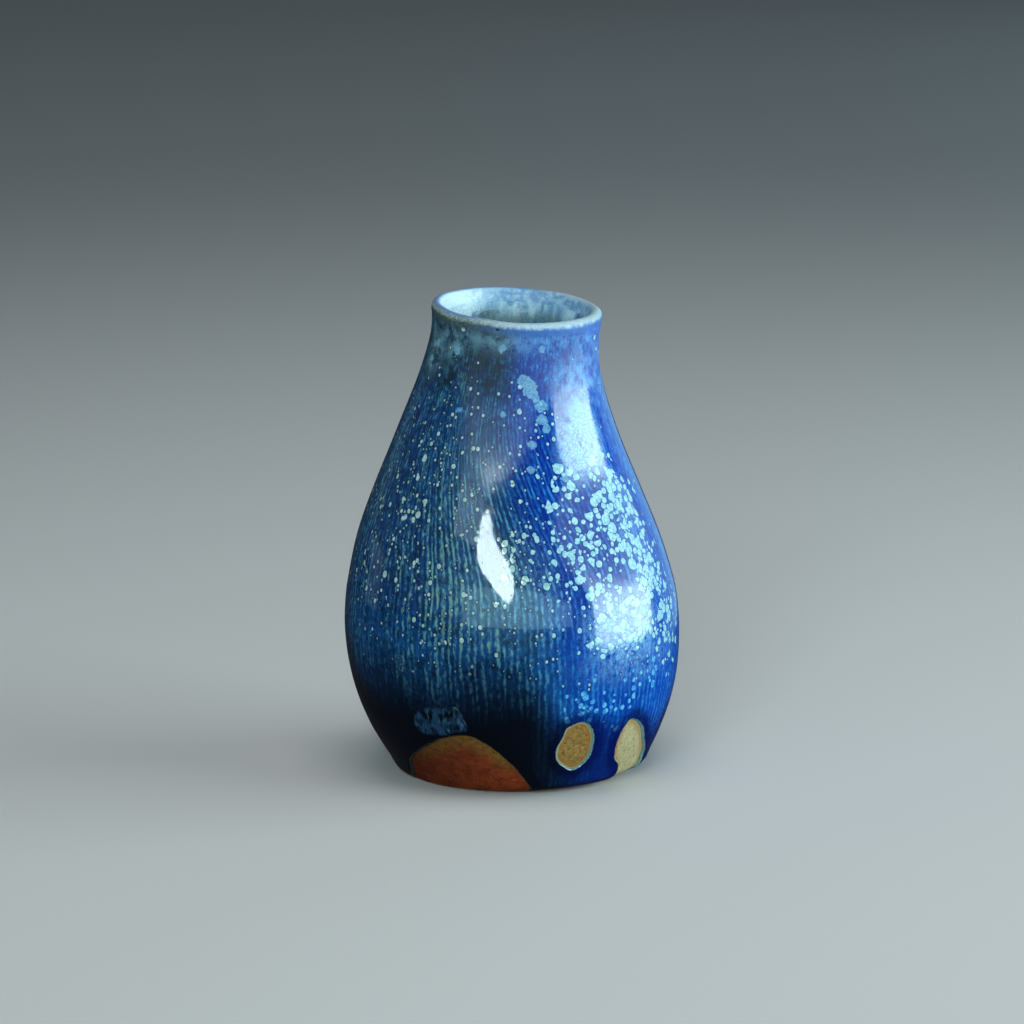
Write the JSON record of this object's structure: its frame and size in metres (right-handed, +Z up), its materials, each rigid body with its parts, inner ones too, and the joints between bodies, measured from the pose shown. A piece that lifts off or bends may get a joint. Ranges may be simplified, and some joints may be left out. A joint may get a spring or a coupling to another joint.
{
  "type": "bud vase",
  "caption": "Small hand-thrown ceramic bud vase with a round belly, a narrow neck, a streaked blue glaze and bare finger marks at the foot.",
  "frame": {"origin": "centre of the belly's widest circle, dropped to the plane that the foot ring stands on", "axes": "+Z up along the axis of the pot, towards the mouth; -Y towards the side with the bare marks; +X to the right of it"},
  "size_m": [0.0704, 0.0704, 0.0999],
  "materials": {
    "clay": "matt",
    "blue_glaze": "gloss",
    "lining": "gloss",
    "lip": "gloss",
    "dab": "gloss"
  },
  "bodies": {
    "root": {"clay_body": "clay", "outer_glaze": "blue_glaze", "lining_glaze": "lining", "lip_glaze": "lip", "glaze_dab": "dab"}
  },
  "joints": []
}
